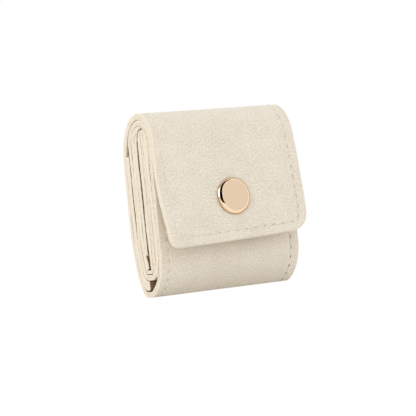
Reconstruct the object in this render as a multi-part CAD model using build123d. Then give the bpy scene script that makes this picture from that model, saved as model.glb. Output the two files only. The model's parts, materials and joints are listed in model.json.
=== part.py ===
from build123d import *
import os
from math import asin, cos, degrees, radians, sin, sqrt, tan

os.makedirs("parts", exist_ok=True)

# Jewelry roll pouch, rolled up and snapped shut: one long suede strip wound into a flat spiral.
# X runs across the strip, -Y is the front with the snap, +Z is up. All lengths are millimetres.
# The strip is drawn as seen from its left cut edge, on the outer face: the sheets of the strip
# lie at depths under that face, and every bend of the roll turns towards the lining.

# The pouch as it stands
pouch_width = 65.0
pouch_height = 74.0

# Sheets, from the outer face inwards
shell_thickness = 1.2
lining_thickness = 1.2
pocket_back_thickness = 2.4
pocket_front_thickness = 2.0
pocket_middle_thickness = 2.4
pocket_end_thickness = 1.9
strip_thickness = shell_thickness + lining_thickness

# Top fold: a tight crown between two wider shoulders, measured from the crown's centre line
back_reach = 15.0
front_reach = 9.3
shoulder_radius = 22.0
crown_half_angle = 45.0

# Flap: its middle is held straight by the snap and kicks outwards near its lower edge. Its left
# side hangs in and then kicks out early, and its right side swells out. It is cut a little askew.
flap_lean_angle = 6.0
flap_kick_angle = 11.0
flap_kick_radius = 25.0
flap_still_width = 18.0
flap_left_lean_angle = 2.5
flap_left_shoulder_radius = 12.0
flap_left_kick_angle = 15.1
flap_left_kick_rise = 9.7
flap_right_lean_angle = 8.8
flap_right_shoulder_radius = 18.3
flap_right_kick_angle = -2.2
flap_right_kick_rise = 7.0
flap_edge_skew = 1.1
flap_spare_length = 4.0
flap_corner_radius = 6.5

# Back panel, heel and toe of the roll
back_draw_height = 26.0
back_draw_radius = 45.0
back_draw_angle = 12.0
heel_radius = 6.5
standing_depth = 7.2
toe_radius = 3.0
toe_turn_angle = 54.0
front_foot_radius = 18.0

# Inner part of the roll
crown_gap = 0.4
back_gap = 0.9
front_gap = 0.8
middle_draw_height = 24.0
middle_draw_radius = 40.0
middle_draw_angle = 13.0
inner_foot_height = 7.0
inner_foot_radius = 4.2
end_panel_rise_height = 4.7

# Pocket sheets: their mouths lie a depth under the top they belong to, and their feet at a height
pocket_back_mouth_depth = 16.0
pocket_back_heel_length = 2.4
pocket_front_mouth_depth = 17.0
pocket_front_foot_height = 16.0
pocket_middle_wrap_angle = 35.0
pocket_middle_foot_height = 15.9
pocket_end_mouth_depth = 1.2
pocket_end_foot_height = 12.5

# Snap fastener, on the flap's outer face, a set distance above the flap's edge
snap_height = 37.4
snap_edge_length = 17.4
snap_kick_clearance = 0.9
cap_radius = 7.5
cap_face_radius = 6.3
cap_height = 1.7
cap_flank_height = 0.7
cap_round = 0.5
cap_wall = 0.35
cap_curl_radius = 5.2
post_flange_radius = 6.1
post_flange_thickness = 0.4
post_radius = 1.9
post_bore_radius = 1.4
post_flare_radius = 2.8
post_flare_thickness = 0.4
socket_radius = 6.2
socket_height = 2.4
socket_base_thickness = 0.5
socket_cavity_radius = 5.2
socket_mouth_radius = 4.35
socket_lip_thickness = 0.45
socket_bevel_depth = 0.35
spring_wire_radius = 0.25
spring_clearance = 0.25
stud_flange_radius = 6.0
stud_flange_thickness = 0.5
stud_head_radius = 3.7
stud_waist_radius = 3.35
stud_height = 2.25
stud_bore_radius = 1.95
stud_bevel_depth = 0.3
snap_entry_depth = 1.2
stud_lip_share = 0.4
eyelet_flange_radius = 4.6
eyelet_flange_thickness = 0.5
eyelet_wall = 0.45
eyelet_flare_radius = 2.5
eyelet_flare_thickness = 0.35
rivet_clearance = 0.05
seat_clearance = 0.05

# Turns of the roll, in degrees
quarter_turn = 90.0
half_turn = 180.0

# Levels of the roll that follow from the sizes above
shoulder_reach = shoulder_radius * (1 - cos(radians(crown_half_angle)))
crown_radius = (back_reach - shoulder_reach) / sin(radians(crown_half_angle))
crown_centre = pouch_height - crown_radius
hinge_reach = crown_radius * sin(radians(crown_half_angle))
hinge_height = crown_centre + crown_radius * cos(radians(crown_half_angle))
back_top = hinge_height - shoulder_radius * sin(radians(crown_half_angle))
middle_reach = back_reach - strip_thickness - pocket_back_thickness - back_gap
end_reach = front_reach - strip_thickness - pocket_front_thickness - front_gap
inner_fold_radius = (front_reach + middle_reach) / 2
inner_fold_start = pouch_height - strip_thickness - crown_gap - inner_fold_radius
end_panel_top = inner_fold_start + end_panel_rise_height

# The snap's parts stand on each other and hold the flap off the front panel, so the flap's
# shoulder has the radius that brings it to that reach at the snap's height.
snap_stack = strip_thickness + socket_height - snap_entry_depth + stud_height
snap_reach = front_reach + snap_stack * cos(radians(flap_lean_angle))
lean_share = tan(radians(flap_lean_angle))
shoulder_shift_share = cos(radians(flap_lean_angle)) - cos(radians(crown_half_angle))
shoulder_drop_share = sin(radians(crown_half_angle)) - sin(radians(flap_lean_angle))
lean_reach = (hinge_height - snap_height) * lean_share
flap_shoulder_radius = (snap_reach - hinge_reach - lean_reach) / (
    shoulder_shift_share - shoulder_drop_share * lean_share
)
flap_edge_height = snap_height - snap_edge_length
flap_kick_height = snap_height - cap_radius - snap_kick_clearance

# Mouths of the pockets
pocket_back_mouth_height = pouch_height - pocket_back_mouth_depth
pocket_front_mouth_height = pouch_height - pocket_front_mouth_depth
pocket_end_mouth_height = end_panel_top - pocket_end_mouth_depth


def drop(radius, steep, level):
    """Height lost on a bend of that radius between two leans from the vertical, in degrees."""
    return radius * (sin(radians(level)) - sin(radians(steep)))


def shift(radius, steep, level):
    """Sideways travel on the same bend."""
    return radius * (cos(radians(steep)) - cos(radians(level)))


# Runs of the back panel, heel and toe, each closed by the height or reach that it has to meet
back_run = back_top - back_draw_height
slant_top = back_draw_height - drop(back_draw_radius, 0, back_draw_angle)
slant_run = (slant_top - drop(heel_radius, back_draw_angle, quarter_turn)) / cos(radians(back_draw_angle))
heel_reach = (
    back_reach
    - shift(back_draw_radius, 0, back_draw_angle)
    - slant_run * sin(radians(back_draw_angle))
    - shift(heel_radius, back_draw_angle, quarter_turn)
)
toe_reach = heel_reach - standing_depth
toe_lean_angle = quarter_turn - toe_turn_angle
foot_sideways = toe_reach + front_reach
foot_sideways -= toe_radius * sin(radians(toe_turn_angle)) + shift(front_foot_radius, 0, toe_lean_angle)
toe_run = foot_sideways / cos(radians(toe_turn_angle))
front_bottom = (
    toe_radius * (1 - cos(radians(toe_turn_angle)))
    + toe_run * sin(radians(toe_turn_angle))
    + drop(front_foot_radius, 0, toe_lean_angle)
)

# Runs of the inner roll
middle_slant_top = middle_draw_height - drop(middle_draw_radius, 0, middle_draw_angle)
middle_slant = middle_slant_top - inner_foot_height
middle_slant -= drop(inner_foot_radius, middle_draw_angle, quarter_turn)
middle_slant_run = middle_slant / cos(radians(middle_draw_angle))
inner_flat_start = (
    middle_reach
    - shift(middle_draw_radius, 0, middle_draw_angle)
    - middle_slant_run * sin(radians(middle_draw_angle))
    - shift(inner_foot_radius, middle_draw_angle, quarter_turn)
)
inner_flat_run = inner_flat_start + end_reach - inner_foot_radius
end_bottom = inner_foot_height + inner_foot_radius

# A move is (0, length) for a straight run, or (radius, degrees) for a bend towards the lining.
back_moves = [(shoulder_radius, crown_half_angle), (0, back_run)]
back_moves += [(back_draw_radius, back_draw_angle)]
heel_moves = [(0, slant_run), (heel_radius, quarter_turn - back_draw_angle), (0, standing_depth)]
toe_moves = [(toe_radius, toe_turn_angle), (0, toe_run), (front_foot_radius, toe_lean_angle)]
front_moves = [(0, inner_fold_start - front_bottom), (inner_fold_radius, half_turn)]
middle_moves = [(0, inner_fold_start - middle_draw_height)]
middle_moves += [(middle_draw_radius, middle_draw_angle)]
inner_foot_angle = quarter_turn - middle_draw_angle
inner_foot_moves = [(0, middle_slant_run), (inner_foot_radius, inner_foot_angle)]
end_moves = [(0, inner_flat_run), (inner_foot_radius, quarter_turn)]
end_moves += [(0, end_panel_top - end_bottom)]
body_moves = back_moves + heel_moves + toe_moves + front_moves + middle_moves
body_moves += inner_foot_moves + end_moves


def strip_line(start, heading, moves, depth, side):
    """Lines and arcs of the strip at a depth under its outer face.

    The lining is on the left of the way it is walked for side 1, and on the right for side -1.
    """
    toward = Vector(1, 0).rotate(Axis.Z, heading)
    here = Vector(*start) + toward.rotate(Axis.Z, side * quarter_turn) * depth
    edges = []
    for radius, amount in moves:
        if radius == 0:
            edge = Line(here, here + toward * amount)
        else:
            inset = depth if amount > 0 else -depth
            edge = JernArc(start=here, tangent=toward, radius=radius - inset, arc_size=side * amount)
        edges.append(edge)
        here = edge @ 1
        toward = edge % 1
    return edges


def sheet_section(start, heading, moves, near, far, side):
    """The section of one sheet of the strip, between two depths under the outer face."""
    outer = strip_line(start, heading, moves, near, side)
    inner = strip_line(start, heading, moves, far, side)
    ends = [Line(outer[0] @ 0, inner[0] @ 0), Line(outer[-1] @ 1, inner[-1] @ 1)]
    return make_face(outer + inner + ends)


def sheet(start, heading, moves, near, far, side=-1):
    """One sheet of the strip across the whole width."""
    section = sheet_section(start, heading, moves, near, far, side)
    return extrude(Plane.YZ * section, amount=pouch_width / 2, both=True)


# The rolled strip behind the back hinge, from the top of the back panel to the free inner end
hinge_back = (hinge_reach, hinge_height)
hinge_front = (-hinge_reach, hinge_height)
shell_body = sheet(hinge_back, -crown_half_angle, body_moves, 0, shell_thickness)
lining_body = sheet(hinge_back, -crown_half_angle, body_moves, shell_thickness, strip_thickness)

# The crown of the top fold, between its two hinge lines
crown_moves = [(crown_radius, 2 * crown_half_angle)]
crown_heading = crown_half_angle
shell_top_fold = sheet(hinge_front, crown_heading, crown_moves, 0, shell_thickness)
lining_top_fold = sheet(hinge_front, crown_heading, crown_moves, shell_thickness, strip_thickness)

# The flap: a shoulder, a nearly straight run that carries the snap, and the kick at its edge.
# It runs past its lower edge here, and is then cut along it.
flap_heading = half_turn + crown_half_angle


def flap_moves(shoulder, lean, kick, kick_height):
    """The flap's moves down to its spare length, for one place across it."""
    shoulder_end = hinge_height - drop(shoulder, lean, crown_half_angle)
    run = (shoulder_end - kick_height) / cos(radians(lean))
    kick_end = kick_height - abs(drop(flap_kick_radius, lean, lean + kick))
    tip_run = (kick_end - flap_edge_height) / cos(radians(lean + kick)) + flap_spare_length
    moves = [(shoulder, crown_half_angle - lean), (0, run)]
    return moves + [(flap_kick_radius, -kick), (0, tip_run)]


left_moves = flap_moves(
    flap_left_shoulder_radius,
    flap_left_lean_angle,
    flap_left_kick_angle,
    snap_height + flap_left_kick_rise,
)
still_moves = flap_moves(flap_shoulder_radius, flap_lean_angle, flap_kick_angle, flap_kick_height)
right_moves = flap_moves(
    flap_right_shoulder_radius,
    flap_right_lean_angle,
    flap_right_kick_angle,
    snap_height + flap_right_kick_rise,
)
flap_places = [
    (-pouch_width / 2, left_moves),
    (-flap_still_width / 2, still_moves),
    (flap_still_width / 2, still_moves),
    (pouch_width / 2, right_moves),
]

# Outline of the flap, seen square on its kicked lower part: straight sides, rounded corners
edge_lean_angle = flap_lean_angle + flap_kick_angle
edge_reach = snap_reach + (snap_height - flap_edge_height) * lean_share
edge_outward = Vector(0, -cos(radians(edge_lean_angle)), sin(radians(edge_lean_angle)))
edge_plane = Plane(origin=(0, -edge_reach, flap_edge_height), x_dir=(1, 0, 0), z_dir=edge_outward)
flap_outline = make_face(
    Polyline(
        (-pouch_width / 2, -flap_edge_skew),
        (pouch_width / 2, flap_edge_skew),
        (pouch_width / 2, pouch_height),
        (-pouch_width / 2, pouch_height),
        close=True,
    )
)
lower_corners = flap_outline.vertices().sort_by(Axis.Y)[:2]
flap_outline = fillet(lower_corners, flap_corner_radius)
flap_prism = extrude(edge_plane * flap_outline, amount=pouch_height / 4, both=True)


def flap_sheet(near, far):
    """A sheet of the flap between two depths, swelling from place to place, cut to the outline."""
    sections = []
    for place, moves in flap_places:
        section = sheet_section(hinge_front, flap_heading, moves, near, far, 1)
        sections.append(Plane.YZ.offset(place) * section)
    return loft(sections, ruled=True) & flap_prism


shell_flap = flap_sheet(0, shell_thickness)
lining_flap = flap_sheet(shell_thickness, strip_thickness)

# Pocket sheets, each sewn to the lining of one panel
back_mouth_turn_angle = degrees(asin((pocket_back_mouth_height - back_top) / shoulder_radius))
back_mouth_reach = back_reach - shift(shoulder_radius, 0, back_mouth_turn_angle)
pocket_back_moves = [(shoulder_radius, back_mouth_turn_angle)] + back_moves[1:] + heel_moves[:2]
pocket_back_moves += [(0, pocket_back_heel_length)]
pocket_back = sheet(
    (back_mouth_reach, pocket_back_mouth_height),
    back_mouth_turn_angle - quarter_turn,
    pocket_back_moves,
    strip_thickness,
    strip_thickness + pocket_back_thickness,
)
pocket_front = sheet(
    (-front_reach, pocket_front_foot_height),
    quarter_turn,
    [(0, pocket_front_mouth_height - pocket_front_foot_height)],
    strip_thickness,
    strip_thickness + pocket_front_thickness,
)
middle_foot_share = (middle_draw_height - pocket_middle_foot_height) / middle_draw_radius
middle_foot_turn_angle = min(degrees(asin(middle_foot_share)), middle_draw_angle)
pocket_middle_moves = [(inner_fold_radius, pocket_middle_wrap_angle), middle_moves[0]]
pocket_middle_moves += [(middle_draw_radius, middle_foot_turn_angle)]
wrap_reach = middle_reach - shift(inner_fold_radius, 0, pocket_middle_wrap_angle)
wrap_height = inner_fold_start + drop(inner_fold_radius, 0, pocket_middle_wrap_angle)


def middle_pocket(layer):
    """One of the two pocket sheets that lie on each other on the middle panel, up into its fold."""
    near = strip_thickness + layer * pocket_middle_thickness
    start = (wrap_reach, wrap_height)
    heading = pocket_middle_wrap_angle - quarter_turn
    return sheet(start, heading, pocket_middle_moves, near, near + pocket_middle_thickness)


pocket_middle_outer = middle_pocket(0)
pocket_middle_inner = middle_pocket(1)
pocket_end = sheet(
    (-end_reach, pocket_end_foot_height),
    quarter_turn,
    [(0, pocket_end_mouth_height - pocket_end_foot_height)],
    strip_thickness,
    strip_thickness + pocket_end_thickness,
)

# The snap's axis stands square on the flap, and the stud on the front panel shares it.
snap_outward = Vector(0, -cos(radians(flap_lean_angle)), sin(radians(flap_lean_angle)))
snap_plane = Plane(origin=(0, -snap_reach, snap_height), x_dir=(1, 0, 0), z_dir=snap_outward)
panel_back_depth = snap_stack + strip_thickness / cos(radians(flap_lean_angle))
stud_base = -snap_stack
stud_flange_top = stud_base + stud_flange_thickness
socket_rim = -strip_thickness - socket_height
stud_tip = socket_rim + snap_entry_depth


def turned(points, rounds=(), radius=0.0):
    """A piece turned on the snap's axis, from its half section of (radius, height) points."""
    section = make_face(Polyline(*points, close=True))
    if rounds:
        corners = [section.vertices().sort_by_distance(Vector(*point))[0] for point in rounds]
        section = fillet(corners, radius)
    return revolve(Plane.XZ * section, Axis.Z)


def disc_space(radius, low, high):
    """The round space that a flange or a post takes out of the sheets."""
    standing = (Align.CENTER, Align.CENTER, Align.MIN)
    return Pos(0, 0, low) * Cylinder(radius, high - low, align=standing)


# Cap: a pressed metal shell with a flat face and its rim curled in round the post's flange
cap_outside = [
    (0, 0),
    (cap_radius, 0),
    (cap_radius, cap_flank_height),
    (cap_face_radius, cap_height),
    (0, cap_height),
]
cap_inside = [
    (0, cap_wall),
    (cap_radius - cap_wall, cap_wall),
    (cap_radius - cap_wall, cap_flank_height),
    (cap_face_radius - cap_wall / 2, cap_height - cap_wall),
    (0, cap_height - cap_wall),
]
cap_solid = turned(cap_outside, rounds=cap_outside[2:4], radius=cap_round)
snap_cap = cap_solid - turned(cap_inside) - disc_space(cap_curl_radius, 0, cap_wall)

# Post: a flange held in the cap, and a tube through the flap that is flared inside the socket
flange_top = cap_wall + post_flange_thickness
socket_floor = -strip_thickness - socket_base_thickness
flare_end = socket_floor - post_flare_thickness
post_points = [
    (0, flange_top),
    (post_flange_radius, flange_top),
    (post_flange_radius, cap_wall),
    (post_radius, cap_wall),
    (post_radius, socket_floor),
    (post_flare_radius, socket_floor),
    (post_flare_radius, flare_end),
    (post_bore_radius, flare_end),
    (post_bore_radius, 0),
    (0, 0),
]
snap_post = turned(post_points)

# Socket: a pressed ring under the flap, with a lip round its mouth
socket_points = [
    (post_radius + rivet_clearance, -strip_thickness),
    (socket_radius - socket_bevel_depth, -strip_thickness),
    (socket_radius, -strip_thickness - socket_bevel_depth),
    (socket_radius, socket_rim + socket_bevel_depth),
    (socket_radius - socket_bevel_depth, socket_rim),
    (socket_mouth_radius, socket_rim),
    (socket_mouth_radius, socket_rim + socket_lip_thickness),
    (socket_cavity_radius, socket_rim + socket_lip_thickness),
    (socket_cavity_radius, socket_floor),
    (post_radius + rivet_clearance, socket_floor),
]
snap_socket = turned(socket_points)

# Spring: two straight wires lying in the socket, one on each side of the stud's head
spring_spread = stud_head_radius + spring_clearance + spring_wire_radius
spring_reach = sqrt(socket_cavity_radius**2 - (spring_spread + spring_wire_radius) ** 2)
spring_level = socket_rim + socket_lip_thickness + spring_wire_radius + seat_clearance
spring_length = 2 * (spring_reach - seat_clearance)
spring_wire = Rot(quarter_turn, 0, 0) * Cylinder(spring_wire_radius, spring_length)
snap_spring = Pos(spring_spread, 0, spring_level) * spring_wire
snap_spring += Pos(-spring_spread, 0, spring_level) * spring_wire

# Stud: a flange on the front panel and a waisted hollow head that enters the socket
head_height = stud_tip - stud_flange_top
stud_lip = stud_tip - head_height * stud_lip_share
flare_floor = stud_tip - eyelet_flare_thickness
stud_points = [
    (stud_bore_radius, stud_base),
    (stud_flange_radius, stud_base),
    (stud_flange_radius, stud_flange_top),
    (stud_waist_radius, stud_flange_top),
    (stud_head_radius, stud_lip),
    (stud_head_radius, stud_tip - stud_bevel_depth),
    (stud_head_radius - stud_bevel_depth, stud_tip),
    (eyelet_flare_radius + seat_clearance, stud_tip),
    (eyelet_flare_radius + seat_clearance, flare_floor),
    (stud_bore_radius, flare_floor),
]
snap_stud = turned(stud_points)

# Eyelet: the stud's own rivet, set from the lining side before the pocket sheet was sewn on
eyelet_radius = stud_bore_radius - rivet_clearance
eyelet_face = -panel_back_depth + eyelet_flange_radius * tan(radians(flap_lean_angle))
eyelet_back = eyelet_face - eyelet_flange_thickness
eyelet_points = [
    (eyelet_radius - eyelet_wall, eyelet_back),
    (eyelet_flange_radius, eyelet_back),
    (eyelet_flange_radius, eyelet_face),
    (eyelet_radius, eyelet_face),
    (eyelet_radius, flare_floor),
    (eyelet_flare_radius, flare_floor),
    (eyelet_flare_radius, stud_tip),
    (eyelet_radius - eyelet_wall, stud_tip),
]
snap_eyelet = turned(eyelet_points)

# Holes and seats for the snap, cut in the sheets that it presses together
snap_place = snap_plane.location
post_hole = snap_place * disc_space(post_radius + rivet_clearance, -strip_thickness, cap_wall)
shell_flap -= post_hole
lining_flap -= post_hole
eyelet_hole = snap_place * disc_space(eyelet_radius + rivet_clearance, eyelet_back, stud_base)
stud_seat = snap_place * disc_space(stud_flange_radius + seat_clearance, stud_base, socket_rim)
eyelet_seat = snap_place * disc_space(
    eyelet_flange_radius + seat_clearance, eyelet_back - seat_clearance, eyelet_face
)
shell_body -= stud_seat + eyelet_hole
lining_body -= eyelet_hole + eyelet_seat
pocket_front -= eyelet_seat

pieces = {
    "shell_body": shell_body,
    "lining_body": lining_body,
    "pocket_back": pocket_back,
    "pocket_front": pocket_front,
    "pocket_middle_outer": pocket_middle_outer,
    "pocket_middle_inner": pocket_middle_inner,
    "pocket_end": pocket_end,
    "shell_top_fold": shell_top_fold,
    "lining_top_fold": lining_top_fold,
    "shell_flap": shell_flap,
    "lining_flap": lining_flap,
    "snap_cap": snap_place * snap_cap,
    "snap_post": snap_place * snap_post,
    "snap_socket": snap_place * snap_socket,
    "snap_spring": snap_place * snap_spring,
    "snap_stud": snap_place * snap_stud,
    "snap_eyelet": snap_place * snap_eyelet,
}

# The reference point is the middle of the footprint, on the surface the pouch stands on.
box = Compound(children=[piece.moved(Location()) for piece in pieces.values()]).bounding_box()
to_reference = Pos(0, -(box.min.Y + box.max.Y) / 2, -box.min.Z)
for name, piece in pieces.items():
    export_step(to_reference * piece, f"parts/{name}.step")

depth_shift = -(box.min.Y + box.max.Y) / 2
print("size", box.size, "depth shift", depth_shift, "lowest", box.min.Z)
print("back hinge Y, Z", hinge_reach + depth_shift, hinge_height)
print("front hinge Y, Z", -hinge_reach + depth_shift, hinge_height)
print("standing flat Y from, to", toe_reach + depth_shift, heel_reach + depth_shift)
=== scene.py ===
import json

import bpy
import numpy as np
from mathutils import Matrix, Vector


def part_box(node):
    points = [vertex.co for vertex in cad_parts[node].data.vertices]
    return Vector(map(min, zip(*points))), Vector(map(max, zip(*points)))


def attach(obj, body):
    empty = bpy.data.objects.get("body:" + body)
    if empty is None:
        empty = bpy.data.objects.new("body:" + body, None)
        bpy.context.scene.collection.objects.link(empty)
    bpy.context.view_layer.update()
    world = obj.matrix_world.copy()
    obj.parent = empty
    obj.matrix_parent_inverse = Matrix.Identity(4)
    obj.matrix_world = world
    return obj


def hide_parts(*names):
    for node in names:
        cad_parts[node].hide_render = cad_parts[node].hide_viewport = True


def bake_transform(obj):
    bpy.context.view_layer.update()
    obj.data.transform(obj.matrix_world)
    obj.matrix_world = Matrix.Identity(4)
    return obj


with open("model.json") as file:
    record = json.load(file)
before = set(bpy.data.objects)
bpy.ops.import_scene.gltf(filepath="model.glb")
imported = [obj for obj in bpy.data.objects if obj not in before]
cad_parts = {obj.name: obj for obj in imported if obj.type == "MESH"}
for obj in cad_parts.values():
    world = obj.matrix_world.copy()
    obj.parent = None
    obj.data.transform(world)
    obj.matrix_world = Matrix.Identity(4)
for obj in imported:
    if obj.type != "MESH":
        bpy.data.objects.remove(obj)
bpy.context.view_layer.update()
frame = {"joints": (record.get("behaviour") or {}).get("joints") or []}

scene = bpy.context.scene

# Outer ply of the strip: one long cut of cream microfibre suede, 1.2 mm thick, with raw cut edges.
# It is rolled into a flat spiral that stands on its bottom fold, and its free outer end is the
# flap. It is made in lengths that meet edge to edge, because the top fold bends as it opens.
ply_thickness = 0.0012
ply_gap = 0.00002
strip_thickness = 2 * ply_thickness
outer_round = 0.00040
inner_round = 0.00014

# The line that it is wound along, from the crown both ways: turns in degrees, radii, and the
# levels or distances at which a straight begins or ends
quarter_turn = 90.0
half_turn = 180.0
crown_turn = 45.0
flap_lean = 6.0
flap_kick = 8.0
flap_kick_radius = 0.025
flap_kick_height = 0.029
flap_tip_height = 0.020
flap_spare = 0.004
back_draw_height = 0.026
back_draw_radius = 0.045
back_draw = 12.0
heel_top = 0.010
heel_shoulder_radius = 0.018
heel_shoulder = 20.0
heel_radius = 0.004
toe_radius = 0.005
toe_turn = 24.0
front_foot_radius = 0.017
middle_reach = 0.0093
end_reach = 0.0041
inner_fold_height = 0.0619
middle_draw_height = 0.024
middle_draw_radius = 0.040
middle_draw = 13.0
inner_foot_height = 0.007
inner_foot_radius = 0.0042
end_panel_top = 0.0675
fold_tail = 0.005
line_step = 0.0001
suede_softening = 0.0016
fold_press = 0.00037
press_start = 0.034
press_fade = 0.010
press_stop = 0.0107
press_end_fade = 0.006

hinge_back, hinge_front = (Vector(joint["pos_m"]) for joint in frame["joints"])
half_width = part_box("shell_flap")[1].x
pouch_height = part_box("shell_top_fold")[1].z
centre = (hinge_back.y + hinge_front.y) / 2
hinge_reach = (hinge_back.y - hinge_front.y) / 2
back_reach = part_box("shell_body")[1].y - centre
front_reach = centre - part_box("shell_body")[0].y
cap_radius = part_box("snap_cap")[1].x


def sine(degrees):
    """Sine of an angle in degrees."""
    return np.sin(np.radians(degrees))


def cosine(degrees):
    """Cosine of an angle in degrees."""
    return np.cos(np.radians(degrees))


snap_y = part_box("snap_cap")[1].y - cap_radius * sine(flap_lean)
snap_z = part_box("snap_cap")[0].z + cap_radius * cosine(flap_lean)


def ease(t):
    """The smooth step 3t^2 - 2t^3 of a share t, held to 0 and 1."""
    t = np.clip(t, 0, 1)
    return t * t * (3 - 2 * t)


def bend(radius, degrees):
    """A move along an arc, as (length, turn): the length is the radius times the turn in radians."""
    return radius * abs(np.radians(degrees)), degrees


def drop(radius, steep, level):
    """Height lost on an arc between two leans from the vertical, in degrees."""
    return radius * (sine(level) - sine(steep))


def shift(radius, steep, level):
    """Sideways travel on the same arc."""
    return radius * (cosine(steep) - cosine(level))


def reach(moves):
    """Length of a row of moves."""
    return sum(length for length, _ in moves)


def walk(moves, heading, side, start):
    """A line in a plane, as rows of length along it, two coordinates, and the inward direction.

    The heading changes evenly along each (length, turn) move and is then averaged over a short
    stretch, so that no bend starts suddenly. The line is the running sum of steps along the
    heading, and inwards is square to it, on the left for side 1 and on the right for side -1.
    """
    lengths = np.cumsum([0] + [length for length, _ in moves])
    turns = np.radians(heading + side * np.cumsum([0] + [turn for _, turn in moves]))
    along = np.arange(0, lengths[-1], line_step)
    angle = np.interp(along, lengths, turns)
    half = int(suede_softening / line_step / 2)
    before, after = 2 * angle[0] - angle[half:0:-1], 2 * angle[-1] - angle[-2:-half - 2:-1]
    window = np.full(2 * half + 1, 1 / (2 * half + 1))
    angle = np.convolve(np.concatenate([before, angle, after]), window, "valid")
    travel = np.diff(along, prepend=0)
    first = start[0] + np.cumsum(np.cos(angle) * travel)
    second = start[1] + np.cumsum(np.sin(angle) * travel)
    return np.array([along, first, second, -side * np.sin(angle), side * np.cos(angle)])


# Each straight is what is left between its two arcs
crown_radius = hinge_reach / sine(crown_turn)
shoulder_radius = (back_reach - hinge_reach) / (1 - cosine(crown_turn))
back_run = hinge_back.z - drop(shoulder_radius, 0, crown_turn) - back_draw_height
slant_run = back_draw_height - drop(back_draw_radius, 0, back_draw) - heel_top
slant_run /= cosine(back_draw)
heel_lean = back_draw + heel_shoulder
heel_run = heel_top - drop(heel_shoulder_radius, back_draw, heel_lean)
heel_run = (heel_run - drop(heel_radius, heel_lean, quarter_turn)) / cosine(heel_lean)
heel_reach = back_reach - shift(back_draw_radius, 0, back_draw) - slant_run * sine(back_draw)
heel_reach -= shift(heel_shoulder_radius, back_draw, heel_lean) + heel_run * sine(heel_lean)
heel_reach -= shift(heel_radius, heel_lean, quarter_turn)
foot_lean = quarter_turn - toe_turn
standing_run = heel_reach + front_reach - toe_radius * sine(toe_turn)
standing_run -= shift(front_foot_radius, 0, foot_lean)
foot_top = toe_radius * (1 - cosine(toe_turn)) + drop(front_foot_radius, 0, foot_lean)
inner_fold_radius = (front_reach + middle_reach) / 2
middle_slant = middle_draw_height - drop(middle_draw_radius, 0, middle_draw) - inner_foot_height
middle_slant -= drop(inner_foot_radius, middle_draw, quarter_turn)
middle_slant /= cosine(middle_draw)
inner_run = middle_reach - shift(middle_draw_radius, 0, middle_draw)
inner_run -= middle_slant * sine(middle_draw)
inner_run -= shift(inner_foot_radius, middle_draw, quarter_turn) + inner_foot_radius - end_reach

crown_moves = [bend(crown_radius, crown_turn)]
back_moves = [bend(shoulder_radius, crown_turn), (back_run, 0), bend(back_draw_radius, back_draw)]
heel_moves = [(slant_run, 0), bend(heel_shoulder_radius, heel_shoulder), (heel_run, 0)]
heel_moves += [bend(heel_radius, quarter_turn - heel_lean), (standing_run, 0)]
toe_moves = [bend(toe_radius, toe_turn), bend(front_foot_radius, foot_lean)]
front_moves = [(inner_fold_height - foot_top, 0), bend(inner_fold_radius, half_turn)]
middle_moves = [(inner_fold_height - middle_draw_height, 0), bend(middle_draw_radius, middle_draw)]
middle_moves += [(middle_slant, 0), bend(inner_foot_radius, quarter_turn - middle_draw), (inner_run, 0)]
end_moves = [bend(inner_foot_radius, quarter_turn)]
end_moves += [(end_panel_top - inner_foot_height - inner_foot_radius, 0)]
front_start = reach(crown_moves + back_moves + heel_moves + toe_moves)
middle_start = front_start + reach(front_moves)
end_start = middle_start + reach(middle_moves)
roll_end = end_start + reach(end_moves) - line_step
fold_end = reach(crown_moves + back_moves[:1]) + fold_tail
turn_end = middle_start - front_moves[1][0] / 2
crown_top = (centre, pouch_height)
roll_moves = crown_moves + back_moves + heel_moves + toe_moves + front_moves + middle_moves + end_moves
roll_line = walk(roll_moves, 0, -1, crown_top)

# The inner fold is pressed up against the crown on its front side
pressed = ease((roll_line[0] - front_start - press_start) / press_fade)
pressed *= ease((middle_start - press_stop - roll_line[0]) / press_end_fade)
roll_line[1:3] -= fold_press * pressed * roll_line[3:5]

# The flap's line starts from the same crown the other way, passes under the cap's middle at the
# flap's lean, and kicks out near its end
lean_share = np.tan(np.radians(flap_lean))
flap_shoulder_radius = centre - snap_y - hinge_reach - (hinge_front.z - snap_z) * lean_share
flap_shoulder_radius /= shift(1, flap_lean, crown_turn) - drop(1, flap_lean, crown_turn) * lean_share
flap_run = hinge_front.z - drop(flap_shoulder_radius, flap_lean, crown_turn) - flap_kick_height
flap_run /= cosine(flap_lean)
kick_lean = flap_lean + flap_kick
tip_run = flap_kick_height - drop(flap_kick_radius, flap_lean, kick_lean) - flap_tip_height
tip_run /= cosine(kick_lean)
flap_moves = crown_moves + [bend(flap_shoulder_radius, crown_turn - flap_lean), (flap_run, 0)]
flap_moves += [bend(flap_kick_radius, -flap_kick), (tip_run, 0)]
flap_length = reach(flap_moves)
flap_line = walk(flap_moves + [(flap_spare, 0)], half_turn, 1, crown_top)

# How the flap's sides hang: distance out from that line, by the length along it from the crown
hang_at = np.array([0, 0.012, 0.018, 0.024, 0.033, 0.041, 0.049, 0.055, 0.060, 0.066])
left_hang = np.array([0, 0, -0.3, -0.9, -1.35, -0.9, 0.9, 2.1, 2.3, 2.4]) * 0.001
right_hang = np.array([0, 0.2, 0.5, 1.2, 1.6, 1.9, 2.0, 1.7, 1.2, 1.0]) * 0.001
middle_hang = np.array([0, 0, 0, 0, 0, 0, 0, 0.2, 0.7, 1.2]) * 0.001
hang_softening = 0.012
hang_power = 0.7
still_reach = 0.009
flap_skew = -0.0013
skew_power = 3


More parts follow.
